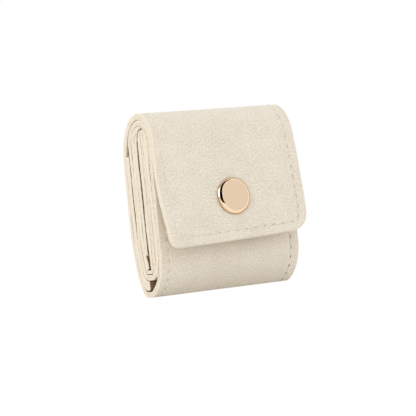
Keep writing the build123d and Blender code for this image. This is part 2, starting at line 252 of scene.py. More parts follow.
def hang(x, along):
    """Distance that the flap stands out: each side's own curve along the flap, averaged over 12 mm.

    The sides' curves fade out towards the still middle, where the snap holds the flap.
    """
    fine = np.arange(0, hang_at[-1], line_step)
    half = round(hang_softening / line_step / 2)
    window = np.hanning(2 * half + 1)
    share = ease((np.abs(x) - still_reach) / (half_width - still_reach)) ** hang_power
    sides = (left_hang, (x < 0) * share), (right_hang, (x >= 0) * share), (middle_hang, 1 - share)
    out = np.zeros(np.broadcast(x, along).shape)
    for curve, weight in sides:
        curve = np.pad(np.interp(fine, hang_at, curve), half, mode="edge")
        out = out + weight * np.interp(along, fine, np.convolve(curve, window / window.sum(), "valid"))
    return out


def on_flap(x, along, depth):
    """Point of the flap: on its line at that length, moved inwards by the depth less the hang.

    Its lower edge isn't cut quite square, so the lengths grow towards one side.
    """
    along = along + flap_skew * x / half_width * (along / flap_length) ** skew_power
    y, z, inward_y, inward_z = (np.interp(along, flap_line[0], row) for row in flap_line[1:])
    inset = depth - hang(x, along)
    return np.stack([x, y + inward_y * inset, z + inward_z * inset], axis=-1)


# How the rolled sheets wave towards their cut edges
sway = 0.00012
long_wave = 0.047
short_wave = 0.019
short_share = 0.6
wave_slant = 1.7
sway_fade = 0.03
still_share = 0.2


def on_sheet(line=roll_line, phase=0.0):
    """Gives the function that places a point of a rolled sheet by its x, length and depth.

    The point lies on the sheet's line, moved inwards by the depth and by two slow sine waves that
    grow towards the cut edges.
    """
    def place(x, along, depth):
        y, z, inward_y, inward_z = (np.interp(along, line[0], row) for row in line[1:])
        wave = np.sin(2 * np.pi * along / long_wave + phase + wave_slant * x / half_width)
        wave = wave + short_share * np.sin(2 * np.pi * along / short_wave + 2 * phase)
        inset = depth + sway * wave * (x / half_width) ** 2 * ease(along / sway_fade - still_share)
        return np.stack([x, y + inward_y * inset, z + inward_z * inset], axis=-1)

    return place


sharp_from = 50.0


def new_piece(name, points, *faces):
    """A smooth mesh object at the origin, from an array of points and arrays of faces.

    The volume that the faces enclose is summed from the tetrahedra between the origin and their
    triangles, and where it comes out negative, the faces are turned round to point outwards.
    """
    points = np.asarray(points).reshape(-1, 3)
    volume = 0
    for group in faces:
        corner = points[group]
        for last in range(2, group.shape[1]):
            volume += np.einsum("ij,ij->", corner[:, 0], np.cross(corner[:, last - 1], corner[:, last]))
    mesh = bpy.data.meshes.new(name)
    order = -1 if volume < 0 else 1
    corners = [face for group in faces for face in group[:, ::order].tolist()]
    mesh.from_pydata(points.tolist(), [], corners)
    mesh.polygons.foreach_set("use_smooth", np.ones(len(mesh.polygons), bool))
    mesh.set_sharp_from_angle(angle=np.radians(sharp_from))
    piece = bpy.data.objects.new(name, mesh)
    scene.collection.objects.link(piece)
    return piece


def paint(piece, name, values):
    """Stores a number or a vector for each point of the mesh, which its material reads by name."""
    values = np.ascontiguousarray(values, np.float32)
    points = len(piece.data.vertices)
    kind, field = ("FLOAT", "value") if values.size == points else ("FLOAT_VECTOR", "vector")
    piece.data.attributes.new(name, kind, "POINT").data.foreach_set(field, values.ravel())


def grid_faces(count, loop):
    """Quads between rings that follow each other, each ring a closed loop of points."""
    first = np.arange(count - 1)[:, None] * loop
    this, following = first + np.arange(loop), first + np.roll(np.arange(loop), -1)
    return np.stack([this, following, following + loop, this + loop], -1).reshape(-1, 4)


# The row of stitches, and how finely the cloth's mesh follows it, its edges and its hidden parts
stitch_inset = 0.0038
stitch_pitch = 0.0043
seam_half = 0.0014
seam_spacing = 0.0002
shown_spacing = 0.0007
hidden_spacing = 0.0015
edge_margin = 0.0001
corner_points = 4
end_share = 0.4
edge_fray = 0.00004
chance = np.random.default_rng(11)


def columns(spacing, sewn):
    """Places across the strip as shares of its half width, closer together at the sewn rows."""
    coarse = np.linspace(-1, 1, int(2 * half_width / spacing))[1:-1]
    if not sewn:
        return coarse
    row = 1 - stitch_inset / half_width
    close = row + np.arange(-seam_half, seam_half + seam_spacing / 2, seam_spacing) / half_width
    coarse = coarse[np.abs(np.abs(coarse) - row) > (seam_half + edge_margin) / half_width]
    return np.sort(np.concatenate([coarse, close, -close]))


def cut_sheet(name, place, along, near, far, rounds, ends=(False, False), spacing=shown_spacing, seam=None,
              corners=None, relief=None, way=1, recess=0.0):
    """A cut of suede with rounded edges, bent to its place.

    Its section is a loop of points: along the near face, round the right cut edge, back along the
    far face and round the left one. The loop is set at each length in along. Near and far are its
    depths, each a number or a row of lengths with a row of depths. At a free end the loop shrinks
    over a few rows, by no more than a share of the thickness, so that this edge is rounded too,
    and the last loop is closed by a ladder of faces. Corners gives the half widths at each length,
    seam the distance from the row of stitches with the count of stitches along it and the share of
    painted shade in the needle holes, and relief a depth added to the faces. Recess sets the sides
    back: there the edge is not marked as cut and takes the face's colour, which on the tan lining
    is painted shade. The cut edges are roughened by small random moves.
    """
    turn = np.linspace(0, np.pi / 2, corner_points)
    across = columns(spacing, seam is not None)
    share = np.concatenate([-np.ones(corner_points), across, np.ones(corner_points)])
    raw = np.concatenate([np.cos(turn), 0 * across, np.cos(turn[::-1])])
    x_in, deep_in = [], []
    for radius in rounds:
        arc_x, arc_deep = radius * (1 - np.cos(turn)), radius * (1 - np.sin(turn))
        x_in.append(np.concatenate([arc_x, 0 * across, arc_x[::-1]]))
        deep_in.append(np.concatenate([arc_deep, 0 * across, arc_deep[::-1]]))
    x_in, deep_in = (np.concatenate([near_face, far_face[::-1]]) for near_face, far_face in (x_in, deep_in))
    face = np.repeat([1, -1], share.size)
    share, raw = np.concatenate([share, share[::-1]]), np.concatenate([raw, raw[::-1]])

    ring = np.linspace(0, np.pi / 2, corner_points)
    radius = max(rounds)
    shrink_along, shrink_in = radius * (1 - np.sin(ring)), radius * (1 - np.cos(ring))
    inset = np.zeros(along.size)
    if ends[0]:
        kept = along > along[0] + radius + edge_margin
        inset = np.concatenate([shrink_in[::-1], inset[kept]])
        along = np.concatenate([along[0] + shrink_along[::-1], along[kept]])
    if ends[1]:
        kept = along < along[-1] - radius - edge_margin
        inset = np.concatenate([inset[kept], shrink_in])
        along = np.concatenate([along[kept], along[-1] - shrink_along])
    along, inset = along[:, None], inset[:, None]
    near, far, recess = (np.interp(along, *row) if np.ndim(row) else row for row in (near, far, recess))
    inset = np.minimum(inset, end_share * (far - near))
    left, right = corners(along) if corners else (half_width + 0 * along, half_width + 0 * along)
    left, right = left - recess, right - recess
    edge = np.abs(share) == 1
    x = share * np.where(share < 0, left, right) - np.sign(share) * edge * np.maximum(x_in, inset)
    inner = np.maximum(radius, inset) + edge_margin
    x = np.where(edge, x, np.clip(x, -left + inner, right - inner))
    depth = np.where(face == 1, near, far) + face * np.maximum(deep_in, inset)
    if relief:
        depth = depth + face * relief(x, along, face)
    side = (face > 0) + 2 * (share > 0)
    x = x + edge * chance.normal(0, edge_fray, (along.size, 4))[:, side]
    depth = depth + edge * chance.normal(0, edge_fray, (along.size, 4))[:, side]
    points = place(x, along, depth)
    loop = share.size
    ladder = np.arange(loop // 2 - 1)
    rungs = np.stack([ladder, loop - 1 - ladder, loop - 2 - ladder, ladder + 1], -1)
    last = (along.size - 1) * loop
    piece = new_piece(name, points, grid_faces(along.size, loop), rungs, rungs[:, ::-1] + last)
    rounded = ease(inset / (end_share * (far - near)))
    # Set-back edges are not marked as cut, so they take the face's colour: with the tan lining, painted shade
    # in the recess.
    paint(piece, "cut_edge", np.maximum(raw, rounded) * (recess < edge_fray))
    paint(piece, "cloth", np.stack([x, way * along + 0 * x, depth], -1))
    paint(piece, "seam", np.stack(seam(x, along) if seam else (half_width + 0 * x, 0 * x, 0 * x), -1))
    return piece


# The snap's axis, square to the flap, and the stud's place on it when the snap is shut
snap_out = np.array([0, -cosine(flap_lean), sine(flap_lean)])
snap_up = np.array([0, sine(flap_lean), cosine(flap_lean)])
snap_centre = np.array([0, snap_y, snap_z])
socket_height = 0.0024
snap_entry = 0.0012
stud_height = 0.00225
stud_flange_radius = 0.0060
seat_fade = 0.0010
socket_rim = -strip_thickness - socket_height
stud_tip = socket_rim + snap_entry
stud_base = stud_tip - stud_height


def stud_seat(x, along):
    """Depth to which the stud's flange presses the front panel's face in.

    Where the face would stand above the flange's base it is taken down to it, and this fades out
    in a narrow ring round the flange.
    """
    point = on_sheet()(x, along, 0.0) - snap_centre
    above = point @ snap_out
    from_axis = np.linalg.norm(point - above[..., None] * snap_out, axis=-1)
    share = ease((stud_flange_radius + seat_fade - from_axis) / seat_fade)
    return share * np.maximum(above - stud_base, 0)


# The flap's lower corners are cut round, the right one more than the left
corner_left = 0.0040
corner_right = 0.0075
corner_full = 0.999


def flap_corners(along):
    """Half widths of the flap left and right of its middle: full, then in by a quarter circle.

    It stops just short of the quarter's end, where the circle would run straight in.
    """
    halves = []
    for radius in (corner_left, corner_right):
        past = np.clip(along - (flap_length - radius), 0, radius * corner_full)
        halves.append(half_width - radius + np.sqrt(radius**2 - past**2))
    return halves


# The flap's row of stitches: down the left side, round the corners along the edge, up the right
arc_points = 25
arc = np.linspace(0, np.pi / 2, arc_points)
row_x, row_end = half_width - stitch_inset, flap_length - stitch_inset
bend_left, bend_right = corner_left - stitch_inset, corner_right - stitch_inset
left_arc_x, right_arc_x = bend_left * (1 - np.cos(arc)) - row_x, row_x - bend_right * (1 - np.sin(arc))
left_arc_s, right_arc_s = row_end - bend_left * (1 - np.sin(arc)), row_end - bend_right * (1 - np.cos(arc))
flap_row_x = np.concatenate([[-row_x], left_arc_x, right_arc_x, [row_x]])
flap_row_s = np.concatenate([[0], left_arc_s, right_arc_s, [0]])
flap_row_run = np.concatenate([[0], np.cumsum(np.hypot(np.diff(flap_row_x), np.diff(flap_row_s)))])
flap_stitches = int(round(flap_row_run[-1] / stitch_pitch))

# How strong the painted shade in the needle holes is: in the middle, what the right side has more,
# and the share at the crown and the length over which it grows from there. Then the thread's groove.
flap_hole_shade = 0.3
flap_hole_shade_more = 0.22
crown_hole_shade_share = 0.35
hole_shade_sets_in = 0.045
side_hole_shade = 0.6
side_hole_shade_more = 0.3
groove_half = 0.0009
groove_depth = 0.00010
hole_depth = 0.00018


def flap_seam(x, along):
    """Distance from the flap's row of stitches, the count of stitches to there, and the holes' painted shade.

    At a corner the distance is measured from the corner's centre, and the count grows with the
    angle round it. Elsewhere both follow the nearer of the side and the end.
    """
    radius = np.where(x < 0, corner_left, corner_right)
    side, end = half_width - np.abs(x), flap_length - along
    over_x, over_s = np.maximum(radius - side, 0), np.maximum(radius - end, 0)
    corner = (over_x > 0) & (over_s > 0)
    across = np.where(corner, radius - np.hypot(over_x, over_s), np.minimum(side, end)) - stitch_inset
    start = flap_length - radius
    round_corner = start + (radius - stitch_inset) * np.arctan2(over_s, over_x)
    below = start + (radius - stitch_inset) * np.pi / 2 + side - radius
    run = np.where(corner, round_corner, np.where(end < side, below, along))
    run = np.where(x < 0, run, flap_row_run[-1] - run)
    hole_shade_share = flap_hole_shade + flap_hole_shade_more * x / half_width
    hole_shade_share = hole_shade_share * (crown_hole_shade_share + (1 - crown_hole_shade_share) * ease(along / hole_shade_sets_in))
    return across, run / flap_row_run[-1] * flap_stitches, hole_shade_share


def side_seam(x, along):
    """The same for the straight cut edges of the rest of the strip."""
    hole_shade_share = side_hole_shade + side_hole_shade_more * x / half_width
    return half_width - np.abs(x) - stitch_inset, along / stitch_pitch + 0 * x, hole_shade_share


def pull(seam, shown):
    """Gives the relief of a sewn ply on its shown face: a groove, deepest where the thread goes in.

    Across the row it falls off as a bell curve, and along it the square of a raised cosine of the
    count of stitches adds the needle holes.
    """
    def relief(x, along, face):
        across, count, _ = seam(x, along)
        hole = 0.5 + 0.5 * np.cos(2 * np.pi * count)
        groove = np.exp(-((across / groove_half) ** 2)) * (groove_depth + hole_depth * hole**2)
        return (face == shown) * groove

    return relief


# How far apart the mesh's rows lie along the strip, closer where the cloth shows and bends
fold_row = 0.0004
turn_row = 0.0005
lining_row = 0.0006
hidden_row = 0.0007


def rows(first, last, step=fold_row):
    """Even lengths along the strip from first to last."""
    return np.linspace(first, last, int(round((last - first) / step)) + 1)


corner_rows = [flap_length - radius * (1 - np.sin(arc)) for radius in (corner_left, corner_right)]
flap_rows = np.unique(np.round(np.concatenate([rows(0, flap_length - corner_right), *corner_rows]), 5))
outer_ply = (0.0, ply_thickness - ply_gap / 2, (outer_round, inner_round))
sewn_in = pull(side_seam, 1)


def pressed_in(x, along, face):
    """The sewn groove and the stud's seat together, both on the outer face."""
    return sewn_in(x, along, face) + (face > 0) * stud_seat(x, along)


suede_flap = cut_sheet("suede_flap", on_flap, flap_rows, *outer_ply, ends=(False, True), seam=flap_seam,
                       corners=flap_corners, relief=pull(flap_seam, 1), way=-1)
suede_fold = cut_sheet("suede_top_fold", on_sheet(), rows(0, fold_end), *outer_ply, seam=side_seam,
                       relief=sewn_in)
suede_turn = cut_sheet("suede_outer_turn", on_sheet(), rows(fold_end, turn_end, turn_row), *outer_ply,
                       seam=side_seam, relief=pressed_in)
suede_core = cut_sheet("suede_inner_turn", on_sheet(), rows(turn_end, roll_end, hidden_row), *outer_ply,
                       ends=(False, True), spacing=hidden_spacing)


def colour(code):
    """A linear colour from an sRGB hex code: each channel is taken off its gamma curve."""
    channel = np.array([int(code[i:i + 2], 16) / 255 for i in (1, 3, 5)])
    linear = np.where(channel <= 0.04045, channel / 12.92, ((channel + 0.055) / 1.055) ** 2.4)
    return (*linear, 1.0)


def add(tree, kind, sockets, **settings):
    """Adds a node. Settings are its properties, and sockets give each input a value or a link.

    A link is to another node's output, or to a node, by the first of its outputs that is in use.
    """
    node = tree.nodes.new("ShaderNode" + kind)
    for name, value in settings.items():
        setattr(node, name, value)
    for name, value in sockets.items():
        if isinstance(value, bpy.types.Node):
            value = next(output for output in value.outputs if output.enabled)
        if isinstance(value, bpy.types.NodeSocket):
            tree.links.new(node.inputs[name], value)
        else:
            node.inputs[name].default_value = value
    return node


def new_material(name):
    """An empty node material and its tree."""
    material = bpy.data.materials.new(name)
    material.use_nodes = True
    material.node_tree.nodes.clear()
    return material, material.node_tree


nap_grain = 0.00075
fibre_width = 0.00016
nap_patch = 0.009
nap_stroke = 0.11
hole_across = 0.00036
hole_along = 0.0014
hole_shade = "#6E6252"
core_fibre = "#ECE3D2"


def suede(name, light, dark, edge):
    """Microfibre suede, sanded to a short nap and cut raw.

    The nap is dull and speckled where its fibres lean towards or away from the light, in soft
    patches where it was stroked. A cut edge shows the paler core with fibres standing out of it,
    and the needle holes are painted darker: small slits of painted shade. The grain is drawn
    coarser than real nap, and the fibres thicker, so that both show from the camera's distance.
    """
    material, tree = new_material(name)
    cloth = add(tree, "Attribute", {}, attribute_name="cloth").outputs["Vector"]
    edge_share = add(tree, "Attribute", {}, attribute_name="cut_edge").outputs["Fac"]
    seam = add(tree, "Attribute", {}, attribute_name="seam").outputs["Vector"]
    grain = add(tree, "TexNoise", {"Vector": cloth, "Scale": 1 / nap_grain, "Detail": 3.0, "Roughness": 0.65})
    fibre = add(tree, "TexNoise", {"Vector": cloth, "Scale": 1 / fibre_width, "Detail": 1.0})
    patch = add(tree, "TexNoise", {"Vector": cloth, "Scale": 1 / nap_patch, "Detail": 2.0})
    speckle = add(tree, "MapRange", {"Value": grain, "From Min": 0.34, "From Max": 0.66})
    stroked = add(tree, "MapRange", {"Value": patch, "From Min": 0.3, "From Max": 0.7, "To Min": -nap_stroke,
                                     "To Max": nap_stroke})
    tone = add(tree, "Math", {0: speckle, 1: stroked}, operation="ADD", use_clamp=True)
    face = add(tree, "Mix", {0: tone, 6: colour(dark), 7: colour(light)}, data_type="RGBA")
    parts = add(tree, "SeparateXYZ", {0: seam})
    count = add(tree, "Math", {0: parts.outputs[1], 1: 0.5}, operation="ADD")
    near_hole = add(tree, "Math", {0: count}, operation="FRACT")
    near_hole = add(tree, "Math", {0: near_hole, 1: 0.5}, operation="SUBTRACT")
    near_hole = add(tree, "Math", {0: near_hole, 1: stitch_pitch / hole_along}, operation="MULTIPLY")
    near_row = add(tree, "Math", {0: parts.outputs[0], 1: 1 / hole_across}, operation="MULTIPLY")
    from_hole = add(tree, "CombineXYZ", {0: near_hole, 1: near_row})
    from_hole = add(tree, "VectorMath", {0: from_hole}, operation="LENGTH")
    hole = add(tree, "MapRange", {"Value": from_hole, "From Min": 1.0, "From Max": 0.35},
               interpolation_type="SMOOTHSTEP")
    hole = add(tree, "Math", {0: hole, 1: parts.outputs[2]}, operation="MULTIPLY")
    # The needle holes are painted in hole_shade: painted shade, as strong as the seam's third share.
    sewn = add(tree, "Mix", {0: hole, 6: face, 7: colour(hole_shade)}, data_type="RGBA")
    core = add(tree, "Mix", {0: fibre, 6: colour(edge), 7: colour(core_fibre)}, data_type="RGBA")
    shade = add(tree, "Mix", {0: edge_share, 6: sewn, 7: core}, data_type="RGBA")
    height = add(tree, "Math", {0: grain, 1: fibre}, operation="ADD")
    bump = add(tree, "Bump", {"Height": height, "Strength": 0.5, "Distance": fibre_width})
    shader = add(tree, "BsdfPrincipled", {"Base Color": shade, "Normal": bump, "Roughness": 0.92,
                                          "Specular IOR Level": 0.2, "Sheen Weight": 0.25,
                                          "Sheen Roughness": 0.4})
    add(tree, "OutputMaterial", {0: shader})
    return material


# For the top fold and the flap, the body that each hangs from, and the two points, back from the
# crown's middle and up, between which the cloth would bend; fasten reads them but bends nothing.
bends = {"top_fold": ("roll", (0.018, 0.0625), (0.00108, 0.0733)),
         "flap": ("top_fold", (0.0, 0.0716), (-0.01525, 0.06244))}


def fasten(piece, body, material, node_name=None, soft=False):
    """Gives a piece its material, hides the CAD part it stands for and hangs it from its body.

    A soft piece on the top fold or the flap is not hung from a body: its place is baked into its
    mesh, and that body's two points in bends are read but not used.
    """
    piece.data.materials.append(material)
    if node_name:
        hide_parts(node_name)
    if soft and body in bends:
        before, start, end = bends[body]
        start, end = ((0.0, centre + back, height) for back, height in (start, end))
        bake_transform(piece)
    else:
        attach(piece, body)


def lay(piece, body, material, node_name):
    """Fastens a length of the strip's full width, and says how it is held and on what."""
    fasten(piece, body, material, node_name, soft=True)


outer_suede = suede("sanded_microfibre_suede", light="#E9E1D5", dark="#CFC5B1", edge="#DFD3BD")
lay(suede_turn, "roll", outer_suede, "shell_body")
lay(suede_core, "roll", outer_suede, "shell_body")
lay(suede_flap, "flap", outer_suede, "shell_flap")
lay(suede_fold, "top_fold", outer_suede, "shell_top_fold")

# Lining ply: the same suede again, nap side in, sewn to the outer ply all round by one row of
# lockstitch, so the strip shows suede on both faces and two thin plies at its cut edges. It is
# cream on the flap and the top fold. Where it is rolled in, its faces are painted a dark tan:
# painted shade for the hollows of the roll.
lining_ply = (ply_thickness + ply_gap / 2, strip_thickness, (inner_round, outer_round))
lining_flap = cut_sheet("lining_flap_ply", on_flap, flap_rows, *lining_ply, ends=(False, True),
                        seam=flap_seam, corners=flap_corners, relief=pull(flap_seam, -1), way=-1)
lining_fold = cut_sheet("lining_fold_ply", on_sheet(), rows(0, fold_end), *lining_ply, seam=side_seam,
                        relief=pull(side_seam, -1))
lining_turn = cut_sheet("lining_outer_turn", on_sheet(), rows(fold_end, turn_end, lining_row), *lining_ply,
                        spacing=hidden_spacing)
lining_core = cut_sheet("lining_inner_turn", on_sheet(), rows(turn_end, roll_end, hidden_row), *lining_ply,
                        ends=(False, True), spacing=hidden_spacing)
cream_lining = suede("sanded_microfibre_lining", light="#EADFC8", dark="#D7CAB0", edge="#DFD3BD")
# Dark tan faces are painted shade; the cut edges keep the cream edge colour.
shade_painted_lining = suede("shade_painted_tan_lining", light="#8F6C3C", dark="#725229", edge="#DFD3BD")
lay(lining_turn, "roll", shade_painted_lining, "lining_body")
lay(lining_core, "roll", shade_painted_lining, "lining_body")
lay(lining_flap, "flap", cream_lining, "lining_flap")
lay(lining_fold, "top_fold", cream_lining, "lining_top_fold")

# Pocket sheets: doubled suede sewn to the lining of one panel each, with an open mouth on top.
# Rolled up, they are squeezed to fill the roll: only their cut edges show, with thin dark gaps
# between. A short cover sheet meets the back pocket's mouth from above.
pocket_round = 0.00030
pocket_heel_radius = 0.0072
pocket_heel_run = 0.00096
pocket_foot_run = 0.0010
swell_margin = 0.001
swell_fade = 0.012
phase_step = 1.3
pocket_heel_moves = [(slant_run, 0), bend(heel_shoulder_radius, heel_shoulder), (pocket_heel_run, 0)]
pocket_heel_moves += [bend(pocket_heel_radius, quarter_turn - heel_lean), (pocket_foot_run, 0)]
pocket_back_line = walk(crown_moves + back_moves + pocket_heel_moves, 0, -1, crown_top)


def swell(fullness):
    """Gives the relief that makes a sheet thicker by that much away from its side edges."""
    def relief(x, along, face):
        return -fullness * (face < 0) * ease((half_width - swell_margin - np.abs(x)) / swell_fade)

    return relief


# For each sheet, in mm: how much fuller it is inside than at its sides, the depth of the face that
# lies on the sheet before it, the depth of its other face, and how far its side edges are set
# back, each as (length along its line, distance) and straight between those lengths
on_lining = [(0, 2.43)]
flush = [(0, 0)]
pockets = {
    "suede_pocket_cover": ("pocket_back", "top_fold", roll_line, 0, on_lining,
                           [(10.5, 2.75), (13, 3.0), (16, 3.63), (19, 4.56), (22.8, 5.3)], [(0, 0.8)]),
    "suede_pocket_back": ("pocket_back", "roll", pocket_back_line, 0.30, [(80, 2.43), (84, 2.6), (87.2, 3.0)],
                          [(23.75, 5.2), (55, 5.25), (59, 5.56), (64, 5.3), (74, 5.28), (76, 5.5), (78, 6.05),
                           (80, 6.7), (84, 6.85), (87.2, 6.8)], flush),
    "suede_pocket_front": ("pocket_front", "roll", roll_line, 0.35, on_lining,
                           [(99, 3.45), (103, 4.1), (106, 4.6), (109, 4.78), (141, 4.78), (149, 5.3),
                            (152, 5.5), (155, 5.5), (157, 5.31), (160, 4.75), (163, 3.36), (164.2, 2.95),
                            (166, 3.25)], flush),
    "suede_pocket_middle_outer": ("pocket_middle_outer", "roll", roll_line, 0, on_lining,
                                  [(166.3, 3.35), (167.1, 3.75), (168.9, 4.35), (170.2, 4.95), (231, 4.95),
                                   (233, 5.5), (236, 5.6), (238, 4.6), (241, 4.1), (246.6, 4.05)], flush),
    "suede_pocket_middle_inner": ("pocket_middle_inner", "roll", roll_line, 0.75,
                                  [(230.4, 4.98), (232, 5.3), (234, 5.6), (236.5, 5.65)],
                                  [(170.4, 5.25), (173.2, 6.2), (176.1, 7.1), (183, 7.3), (221, 7.3),
                                   (226, 7.2), (230.2, 6.75), (230.4, 6.7), (232, 6.6), (234, 6.4),
                                   (236.5, 6.1)],
                                  [(230.2, 0), (230.4, 0.9)]),
    "suede_pocket_end": ("pocket_end", "roll", roll_line, 0, on_lining,
                         [(247.0, 4.05), (250.2, 4.1), (252.7, 4.35), (256.2, 4.55), (266, 5.15), (301, 5.15),
                          (303.9, 4.95), (306.2, 4.1), (307.2, 3.2)], flush),
}
for number, (name, (node_name, body, line, fullness, *edges)) in enumerate(pockets.items()):
    near, far, recess = (np.array(edge).T / 1000 for edge in edges)
    first, last = far[0, 0], far[0, -1]
    pocket = cut_sheet(name, on_sheet(line, phase_step * number), rows(first, last, hidden_row), near, far,
                       (pocket_round, pocket_round), ends=(True, True), spacing=hidden_spacing, recess=recess,
                       relief=swell(fullness / 1000))
    # The pocket sheets get the tan lining as well: painted shade between the sheets of the roll.
    lay(pocket, body, shade_painted_lining, node_name)

# Sewing thread: cream polyester thread, 0.44 mm thick, in a lockstitch through both plies. Each
# stitch is a short twisted length that dives into the needle hole at both its ends.
thread_radius = 0.00022
stitch_half = 0.0012
stitch_lift = 0.00006
stitch_dive = 0.00042
stitch_spread = 0.05
stitch_slant = 0.00004
stitch_overlap = 0.003
dive_power = 6
draw_in = 0.35
draw_in_power = 8
thread_sides = 8
thread_rings = 7
thread_lay = 0.0009
rib_depth = 0.00004
thread_dark = "#DDD3C2"
thread_light = "#F1EADE"


def strands(name, paths, outward, radius, sides=thread_sides):
    """Round strands along many paths at once: a ring of points is set square to each path's run.

    Its radius shrinks with the eighth power of the share towards both ends, and an end is closed
    by one flat face.
    """
    along = np.gradient(paths, axis=1)
    along /= np.linalg.norm(along, axis=2, keepdims=True)
    across = np.cross(along, outward)
    across /= np.linalg.norm(across, axis=2, keepdims=True)
    up = np.cross(across, along)
    count, rings, _ = paths.shape
    share = np.linspace(-1, 1, rings)[None, :, None, None]
    angle = (np.linspace(0, 2 * np.pi, sides, endpoint=False) - np.pi / 2)[None, None, :, None]
    ring = np.cos(angle) * across[:, :, None] + np.sin(angle) * up[:, :, None]
    points = paths[:, :, None] + ring * radius * (1 - draw_in * share**draw_in_power)
    base = np.arange(count)[:, None] * rings * sides
    walls = (base[:, :, None] + grid_faces(rings, sides)[None]).reshape(-1, 4)
    first, last = base + np.arange(sides)[::-1], base + (rings - 1) * sides + np.arange(sides)
    piece = new_piece(name, points, walls, first, last)
    run = np.linalg.norm(np.diff(paths, axis=1, prepend=paths[:, :1]), axis=2).cumsum(axis=1)
    paint(piece, "twist", run[:, :, None] / thread_lay - np.arange(sides) / sides)
    return piece


def sew(place, run_x, run_s, count, depth, lift_way):
    """Paths and outward directions of a row's stitches, from one needle hole to the next.

    The row is given by x and length at even shares of a stitch. A stitch stands a little proud
    in its middle and falls with the sixth power of the share towards the holes.
    """
    share = np.linspace(-1, 1, thread_rings)
    middle = np.arange(count)[:, None] + 0.5
    span = stitch_half / stitch_pitch * (1 + stitch_spread * chance.standard_normal((count, 1)))
    at = middle + share * span
    lean = stitch_slant * chance.standard_normal((count, 1)) * share
    x, along = run_x(at), run_s(at)
    lift = stitch_lift - stitch_dive * share**dive_power
    paths = place(x + lean, along, depth - lift_way * lift)
    return paths, place(x, along, depth - lift_way * stitch_half) - place(x, along, depth)


def side_row(place, first, last, depth, lift_way):
    """The rows of stitches along both straight cut edges between two lengths of the strip."""
    skip, count = int(np.ceil(first / stitch_pitch)), int((last - first) / stitch_pitch)
    both = [sew(place, lambda at, side=side: side * row_x + 0 * at, lambda at: (at + skip) * stitch_pitch,
                count, depth, lift_way) for side in (-1, 1)]
    return [np.concatenate(parts) for parts in zip(*both)]


def flap_row(depth, lift_way):
    """The flap's own row, read from its path by the share of its whole length."""
    scale = flap_row_run[-1] / flap_stitches
    return sew(on_flap, lambda at: np.interp(at * scale, flap_row_run, flap_row_x),
               lambda at: np.interp(at * scale, flap_row_run, flap_row_s), flap_stitches, depth, lift_way)


def thread_material():
    """Bonded polyester sewing thread: a slight shine, with the turns of its twist as fine ribs."""
    material, tree = new_material("twisted_polyester_thread")
    twist = add(tree, "Attribute", {}, attribute_name="twist").outputs["Fac"]
    turns = add(tree, "Math", {0: twist, 1: 2 * np.pi}, operation="MULTIPLY")
    ribs = add(tree, "Math", {0: turns}, operation="SINE")
    tint = add(tree, "MapRange", {"Value": ribs, "From Min": -1.0})
    shade = add(tree, "Mix", {0: tint, 6: colour(thread_dark), 7: colour(thread_light)}, data_type="RGBA")
    bump = add(tree, "Bump", {"Height": ribs, "Strength": 0.6, "Distance": rib_depth})
    shader = add(tree, "BsdfPrincipled", {"Base Color": shade, "Normal": bump, "Roughness": 0.55,
                                          "Specular IOR Level": 0.35})
    add(tree, "OutputMaterial", {0: shader})
    return material


# Each face's depth and the way out from it. The roll's inner face is hidden and has no thread.
outside, inside = (0.0, 1), (strip_thickness, -1)
sewn_rows = {
    "thread_flap": ("flap", [flap_row(*face) for face in (outside, inside)]),
    "thread_top_fold": ("top_fold", [side_row(on_sheet(), 0, fold_end, *face) for face in (outside, inside)]),
    "thread_outer_turn": ("roll", [side_row(on_sheet(), fold_end - stitch_overlap, turn_end, *outside)]),
}
thread = thread_material()
for name, (body, seams) in sewn_rows.items():
    paths, outward = (np.concatenate(parts) for parts in zip(*seams))
    fasten(strands(name, paths, outward, thread_radius), body, thread, soft=True)

# Snap cap and post: a 15 mm cap pressed from brass sheet and plated rose gold, its rim curled
# round the post's flange. The post goes through both plies and is flared inside the socket.
cap_face_radius = 0.0063
cap_height = 0.0017
cap_flank = 0.0006
cap_wall = 0.00035
cap_curl = 0.0052
cap_crown = 0.00006
post_flange_radius = 0.0061
post_flange = 0.0004
post_radius = 0.0019
post_bore = 0.0014
post_flare_radius = 0.0028
post_flare = 0.0004
socket_base = 0.0005
bevel_slope = 0.0001
bevel_half = 0.0002
cap_corner = 0.0008
post_corner = 0.00012
corner_steps = 7
corner_limit = 0.45
turned_segments = 128
# Between these distances from the cap's middle the cap's edge is painted darker: painted shade.
rim_shade_start = 0.0070
rim_shade_full = 0.0074
scratches = (9000.0, 600.0, 600.0)
scratch_slant = (0.3, 0.5, 0.9)
scratch_depth = 0.000002
dullest = 1.3
clearest = 0.8


